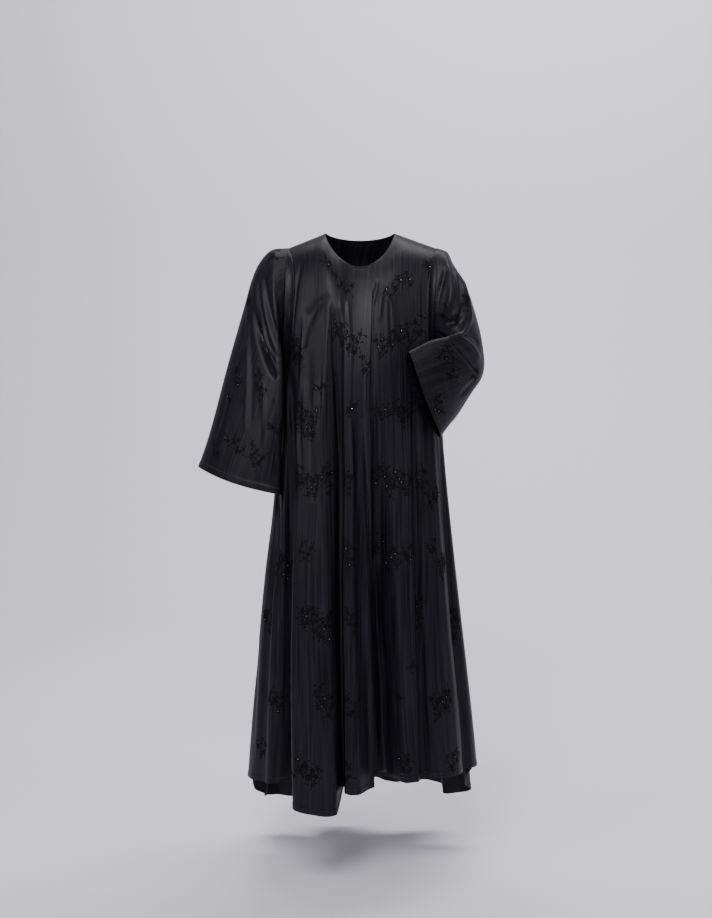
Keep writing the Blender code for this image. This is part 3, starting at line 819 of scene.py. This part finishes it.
def fix_winding(mesh, cloth):
    """Turns every face over where the outer layer's faces look inwards."""
    a, b, c = [Vector(cloth.points[place]) for place in ((0, 0), (1, 0), (1, 1))]
    if (b - a).cross(c - b).dot(Vector(cloth.normal[0, 0])) < 0:
        mesh.flip_normals()


# ---------------- woven flower sprays
BEAD_SHARE = 0.16           # part of the flowers that have a bead
BEAD_RADIUS = 0.0011
BEAD_STAND = 0.0006         # how far a bead's foot stands off the cloth
MOTIF_STAND = 0.0002        # the same for the threads
MOTIF_FOOT = -0.0001        # their edges, and the heights of their middles
PETAL_HIGH = 0.0007
EYE_HIGH = 0.0010
LEAF_HIGH = 0.0006
STEM_HIGH = 0.0005
FLOWER_ROOM = 0.00024       # cloth for each flower of a spray, in square metres

# x, z of the middle of each spray in front, its width across and its height down, in millimetres
SPRAYS = {
    "front_right": (
        (-57, -105, 106, 32), (-34, -243, 68, 54), (-142, -281, 54, 68), (-91, -355, 23, 36),
        (-21, -400, 23, 36), (13, -312, 20, 45), (-132, -425, 81, 72), (-119, -571, 59, 54),
        (-75, -564, 32, 59), (-32, -568, 29, 59), (-124, -720, 32, 45), (-30, -725, 27, 59),
        (-176, -769, 54, 54), (-99, -878, 72, 68), (-21, -878, 36, 50), (-214, -899, 32, 50),
        (-83, -1056, 41, 59), (-26, -1070, 32, 45), (-121, -1208, 59, 50), (-197, -1077, 41, 45),
        (-228, -1201, 32, 41), (-33, -1213, 32, 45), (-158, -160, 32, 41),
    ),
    "front_left": (
        (85, -120, 77, 36), (74, -245, 86, 50), (133, -222, 18, 59), (63, -410, 59, 36),
        (104, -414, 45, 45), (43, -556, 41, 41), (75, -574, 45, 54), (109, -579, 36, 41),
        (143, -563, 27, 54), (171, -609, 41, 45), (43, -715, 36, 32), (71, -743, 41, 54),
        (112, -736, 36, 36), (165, -722, 27, 36), (192, -770, 36, 54), (129, -871, 23, 77),
        (219, -918, 32, 81), (118, -988, 14, 14), (88, -1059, 18, 23), (188, -1080, 54, 63),
        (216, -1214, 36, 45), (102, -1204, 36, 41), (157, -75, 27, 36),
    ),
    "sleeve_right": (
        (-198, -53, 36, 27), (-230, -352, 54, 50), (-285, -339, 45, 27), (-306, -391, 23, 23),
        (-240, -514, 41, 41), (-282, -495, 45, 27), (-201, -447, 23, 36), (-307, -479, 14, 14),
        (-233, -215, 14, 23), (-260, -159, 27, 32), (-337, -507, 32, 27),
    ),
    "sleeve_left": (
        (222, -209, 36, 27), (197, -277, 36, 50), (211, -327, 27, 41), (175, -393, 45, 36),
        (264, -331, 23, 41), (249, -159, 27, 36), (207, -47, 27, 23),
    ),
}
# the same on the sides that face away, with the back's in rows, each a little off its place
HIDDEN_SPRAYS = {
    "back": [(x + 0.065 * (n % 2) + 0.020 * math.sin(5.1 * n + 31.0 * x),
              -0.13 - 0.148 * n + 0.026 * math.sin(2.3 * n + 17.0 * x),
              0.062 + 0.024 * math.sin(3.0 * n + 40.0 * x), 0.050 + 0.014 * math.cos(n + 23.0 * x))
             for n in range(9) for x in (-0.20, -0.07, 0.06, 0.19)],
    "sleeve_right": metres(((-240, -160, 50, 40), (-270, -300, 60, 40), (-310, -410, 60, 40),
                            (-250, -460, 50, 40), (-330, -520, 50, 40))),
    "sleeve_left": metres(((240, -160, 50, 40), (260, -280, 60, 40), (210, -380, 50, 40))),
}


def petal(out, x, y, length, width, turn, high):
    """One rounded petal or leaf from its foot at x, y, as a low dome."""
    c, s = math.cos(turn), math.sin(turn)
    shape = ((0.0, 0.0), (0.28, 0.36), (0.58, 0.52), (0.86, 0.36), (1.0, 0.0),
             (0.86, -0.36), (0.58, -0.52), (0.28, -0.36))
    first = len(out["points"])
    for u, v in shape:
        a, b = u * length, v * width
        out["points"].append((x + a * c - b * s, y + a * s + b * c, MOTIF_FOOT))
    out["points"].append((x + 0.58 * length * c, y + 0.58 * length * s, high))
    ring = range(len(shape))
    out["faces"] += [(first + n, first + (n + 1) % len(shape), first + len(shape)) for n in ring]


def flower(out, rng, x, y, size, turn):
    """Five petals round a small eye, some with a bead."""
    foot = 0.16 * size
    for n in range(5):
        a = turn + n * 2.0 * math.pi / 5.0 + rng.uniform(-0.12, 0.12)
        petal(out, x + foot * math.cos(a), y + foot * math.sin(a),
              size * rng.uniform(0.80, 1.0), size * 0.72, a, PETAL_HIGH)
    petal(out, x - 0.15 * size, y, 0.3 * size, 0.3 * size, 0.0, EYE_HIGH)
    if rng.random() < BEAD_SHARE:
        out["beads"].append((x, y))


def stem(out, a, b, width=0.0007, steps=4):
    """A bowed thread from a to b."""
    dx, dy = b[0] - a[0], b[1] - a[1]
    length = math.hypot(dx, dy)
    if length < 1e-4:
        return
    nx, ny = -dy / length * width, dx / length * width
    first = len(out["points"])
    for n in range(steps + 1):
        u = n / steps
        bow = 0.10 * length * math.sin(math.pi * u)
        x, y = a[0] + dx * u - dy / length * bow, a[1] + dy * u + dx / length * bow
        out["points"] += [(x - nx, y - ny, MOTIF_FOOT), (x, y, STEM_HIGH),
                          (x + nx, y + ny, MOTIF_FOOT)]
    for n in range(steps):
        p = first + 3 * n
        out["faces"] += [(p, p + 1, p + 4, p + 3), (p + 1, p + 2, p + 5, p + 4)]


def spray(rng, width, height):
    """A spray of flowers and leaves on bowed stems, in cloth metres across and down."""
    out = {"points": [], "faces": [], "beads": []}
    count = max(2, int(round(width * height / FLOWER_ROOM)))
    places = []
    for n in range(count):
        u = (n + 0.5) / count
        a = (u - 0.5) * width
        lean = 0.22 * height * math.sin(2.0 * math.pi * u + rng.uniform(-0.3, 0.3))
        b = lean + (n % 3 - 1) * 0.30 * height + rng.uniform(-0.06, 0.06) * height
        places.append((a + rng.uniform(-0.003, 0.003), b))
    for n, (x, y) in enumerate(places):
        size = rng.uniform(0.0046, 0.0074)
        flower(out, rng, x, y, size, rng.uniform(0.0, 6.28))
        if n:
            stem(out, places[n - 1], (x, y))
        for _ in range(3):
            a = rng.uniform(0.0, 6.28)
            reach = size * rng.uniform(1.1, 1.9)
            lx, ly = x + reach * math.cos(a), y + reach * math.sin(a)
            stem(out, (x, y), (lx, ly), 0.0005)
            petal(out, lx, ly, rng.uniform(0.0045, 0.0080), rng.uniform(0.0028, 0.0042),
                  a + rng.uniform(-0.7, 0.7), LEAF_HIGH)
    return out


def bead_mesh(points, faces, centre, normal, radius):
    """A small faceted bead that stands on the cloth."""
    across = unit(np.cross(normal, (0.3, 0.2, 0.93)))
    other = np.cross(normal, across)
    first = len(points)
    for rise, share in ((0.35, 0.75), (0.95, 1.0), (1.55, 0.75)):
        for n in range(6):
            a = n * math.pi / 3 + rise
            ring = math.cos(a) * across + math.sin(a) * other
            points.append(centre + radius * (rise * normal + share * 0.9 * ring))
    points.append(centre + radius * 1.95 * normal)
    points.append(centre + radius * 0.05 * normal)
    for k in (0, 6):
        for n in range(6):
            a, b = first + k + n, first + k + (n + 1) % 6
            faces.append((a, b, b + 6, a + 6))
    for n in range(6):
        faces.append((first + 12 + n, first + 12 + (n + 1) % 6, first + 18))
        faces.append((first + (n + 1) % 6, first + n, first + 19))


def weave_sprays(cloth, rng, motif, glass):
    """The flower sprays of one piece of cloth and their beads, laid over its folds."""
    points, faces, bead_points, bead_faces = [], [], [], []
    rows = [(row, False) for row in metres(SPRAYS.get(cloth.name, ()))]
    rows += [(row, True) for row in HIDDEN_SPRAYS.get(cloth.name, ())]
    for (x, z, width, height), behind in rows:
        row, col = cloth.nearest(x, z, behind)
        made = spray(rng, width, height)
        flat = np.array(made["points"])
        spot, normal = cloth.locate(*cloth.walk(row, col, flat[:, 0], flat[:, 1]))
        first = len(points)
        points += list(spot + normal * (MOTIF_STAND + flat[:, 2:3]))
        faces += [tuple(first + n for n in face) for face in made["faces"]]
        if made["beads"]:
            beads = np.array(made["beads"])
            spot, normal = cloth.locate(*cloth.walk(row, col, beads[:, 0], beads[:, 1]))
            for centre, out in zip(spot, normal):
                bead_mesh(bead_points, bead_faces, centre + out * BEAD_STAND, out, BEAD_RADIUS)
    obj = mesh_object("flowers_" + cloth.name, points, faces, motif)
    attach(obj, "root")
    obj = mesh_object("beads_" + cloth.name, bead_points, bead_faces, glass)
    obj.data.set_sharp_from_angle(angle=0.3)
    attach(obj, "root")


# ---------------- stitching
def stitches(cloth, lines, thread):
    """Rows of short stitches on grid lines given as places down and across the cloth."""
    points, faces = [], []
    for rows, cols in lines:
        spot, normal = cloth.locate(rows, cols)
        run = np.concatenate([[0.0], np.cumsum(np.linalg.norm(np.diff(spot, axis=0), axis=-1))])
        for at in np.arange(0.002, run[-1] - 0.002, STITCH_PITCH):
            ends = [np.array([np.interp(at + d, run, spot[:, k]) for k in range(3)])
                    for d in (-0.5 * STITCH_LENGTH, 0.5 * STITCH_LENGTH)]
            out = unit(np.array([np.interp(at, run, normal[:, k]) for k in range(3)]))
            along = unit(ends[1] - ends[0])
            side = np.cross(out, along) * STITCH_WIDTH
            first = len(points)
            for end in ends:
                points += [end - side, end + out * STITCH_WIDTH, end + side, end - out * 0.0002]
            middle = (ends[0] + ends[1]) / 2 + out * STITCH_WIDTH * 0.4
            points += [middle - side * 1.2, middle + out * STITCH_WIDTH, middle + side * 1.2,
                       middle - out * 0.0003]
            for a, b in ((0, 8), (8, 4)):
                for n in range(4):
                    m = (n + 1) % 4
                    faces.append((first + a + n, first + a + m, first + b + m, first + b + n))
            faces.append((first + 3, first + 2, first + 1, first))
            faces.append((first + 4, first + 5, first + 6, first + 7))
    obj = mesh_object("stitches_" + cloth.name, points, faces, thread)
    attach(obj, "root")


def reached(length, at):
    """Fractional place on a grid line where its running length comes to a number."""
    return np.interp(at, length, np.arange(len(length)))


def hem_line(cloth, up):
    """Grid line that runs a distance above the lower edge."""
    cols = cloth.points.shape[1]
    to_hem = cloth.down[-1:] - cloth.down
    col = np.arange(cols + (1 if cloth.closed else 0), dtype=float)
    return np.array([reached(-to_hem[:, int(c) % cols], -up) for c in col]), col


def edge_line(cloth, inward):
    """Grid line that runs a distance inside the front edge."""
    row = np.arange(2, cloth.points.shape[0] - 3, dtype=float)
    return row, np.array([reached(cloth.across[int(r)], inward) for r in row])


def neck_line(cloth, below, first, last):
    """Grid line that runs a distance below the neckline, between two columns."""
    col = np.arange(first, last, dtype=float)
    return np.array([reached(cloth.down[:, int(c)], below) for c in col]), col


# ---------------- the cloak's five pieces
def front_cloth(name, side, columns, hem, rise):
    """One front, from its lapped edge to its side seam."""
    return Cloth(name, *panel(front_angles(side, columns), hem, rise), False, HEM_TURN, EDGE_TURN)


def sleeve_cloth(name, side, table):
    """One sleeve, with its seam allowance turned in at the armhole."""
    clock = side * np.linspace(0.0, 360.0, 144, endpoint=False)[None, :]
    along = np.concatenate([np.linspace(0.0, 0.97, 130), np.linspace(0.97, 1.0, 9)[1:]])[:, None]
    clock, along = np.broadcast_arrays(clock, along)
    points, middle = sleeve_point(side, table, clock, along)
    turn = tucked(points[0], points[1], points[0] - middle[0])
    points = np.concatenate([turn[None], points])
    middle = np.concatenate([middle[:1], middle])
    return Cloth(name, points, points - middle, np.zeros(points.shape[:2]), True, CUFF_TURN, 0.0)


SATIN = satin_material()
MOTIF = motif_material()
GLASS = bead_material()
THREAD = thread_material()
RNG = random.Random(41)
FRONTS = (
    front_cloth("front_right", -1, COLUMNS_RIGHT, HEM_RIGHT, right_rise),
    front_cloth("front_left", 1, COLUMNS_LEFT, HEM_LEFT, left_rise),
)
BACK = Cloth("back", *tuck_sides(*panel(back_angles(), HEM_BACK, back_rise)), False, HEM_TURN, 0.0)
SLEEVES = (
    sleeve_cloth("sleeve_right", -1, HANGING_SLEEVE),
    sleeve_cloth("sleeve_left", 1, BENT_SLEEVE),
)
# fine columns between which a neckline is stitched
NECK_COLUMNS = {"front_right": (1, 78), "front_left": (1, 54), "back": (60, 101)}

for cloth in (*FRONTS, BACK, *SLEEVES):
    obj = cloth.build(SATIN)
    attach(obj, "root")
    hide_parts(cloth.name)
    weave_sprays(cloth, RNG, MOTIF, GLASS)
    lines = [hem_line(cloth, (CUFF_TURN if cloth.closed else HEM_TURN) - STITCH_INSET)]
    if cloth in FRONTS:
        lines.append(edge_line(cloth, EDGE_TURN - STITCH_INSET))
    if cloth.name in NECK_COLUMNS:
        lines.append(neck_line(cloth, NECK_TURN, *NECK_COLUMNS[cloth.name]))
    stitches(cloth, lines, THREAD)


# ---------------- room, lights and camera
FLOOR = -1.52
SWEEP_NEAR = -7.0           # where the paper starts, and where its curve leaves the floor
SWEEP_TURN = 2.6
SWEEP_RADIUS = 2.0
SWEEP_TOP = 5.5
SWEEP_HALF_WIDTH = 8.0
LAMP_COLOUR = (0.985, 0.965, 1.0)
# name, place, point it is aimed at, width and height, watts
LIGHTS = (
    ("window_left", (-2.4, -2.0, 0.9), (0.0, 0.0, -0.30), (0.9, 1.5), 34.0),
    ("window_right", (2.5, -1.4, 0.8), (0.0, 0.0, -0.30), (1.0, 1.8), 22.0),
    ("front_top", (-0.6, -3.2, 1.8), (0.0, 0.0, -0.5), (1.8, 1.1), 172.0),
    ("backdrop_wash", (1.2, 1.0, 3.4), (1.2, 4.2, -0.3), (5.5, 1.2), 400.0),
)


def room():
    """A paper sweep: the floor, a curve and the wall."""
    profile = [(SWEEP_NEAR, FLOOR), (SWEEP_TURN, FLOOR)]
    profile += [(SWEEP_TURN + SWEEP_RADIUS * math.sin(a), FLOOR + SWEEP_RADIUS * (1 - math.cos(a)))
                for a in np.linspace(0.0, math.pi / 2, 17)[1:]]
    profile += [(SWEEP_TURN + SWEEP_RADIUS, SWEEP_TOP)]
    points = [(x, y, z) for y, z in profile for x in (-SWEEP_HALF_WIDTH, SWEEP_HALF_WIDTH)]
    faces = [(2 * n, 2 * n + 1, 2 * n + 3, 2 * n + 2) for n in range(len(profile) - 1)]
    mesh_object("studio_sweep", points, faces, paper_material())


def area_light(name, place, aim, size, power):
    lamp = bpy.data.lights.new(name, "AREA")
    lamp.shape = "RECTANGLE"
    lamp.size, lamp.size_y = size
    lamp.energy = power
    lamp.color = LAMP_COLOUR
    obj = bpy.data.objects.new(name, lamp)
    obj.location = place
    obj.rotation_euler = (Vector(aim) - Vector(place)).to_track_quat("-Z", "Y").to_euler()
    bpy.context.scene.collection.objects.link(obj)


room()
for light in LIGHTS:
    area_light(*light)

world = bpy.data.worlds.new("studio")
world.use_nodes = True
world.node_tree.nodes["Background"].inputs["Color"].default_value = (0.93, 0.93, 1.0, 1.0)
world.node_tree.nodes["Background"].inputs["Strength"].default_value = 0.11
bpy.context.scene.world = world

lens = bpy.data.cameras.new("camera")
lens.sensor_fit = "VERTICAL"
lens.sensor_height = 36.0
lens.lens = 50.0
camera = bpy.data.objects.new("camera", lens)
camera.location = (-0.0095, -3.02, -0.246)
camera.rotation_euler = (math.radians(84.6), 0.0, 0.0)
bpy.context.scene.collection.objects.link(camera)
bpy.context.scene.camera = camera
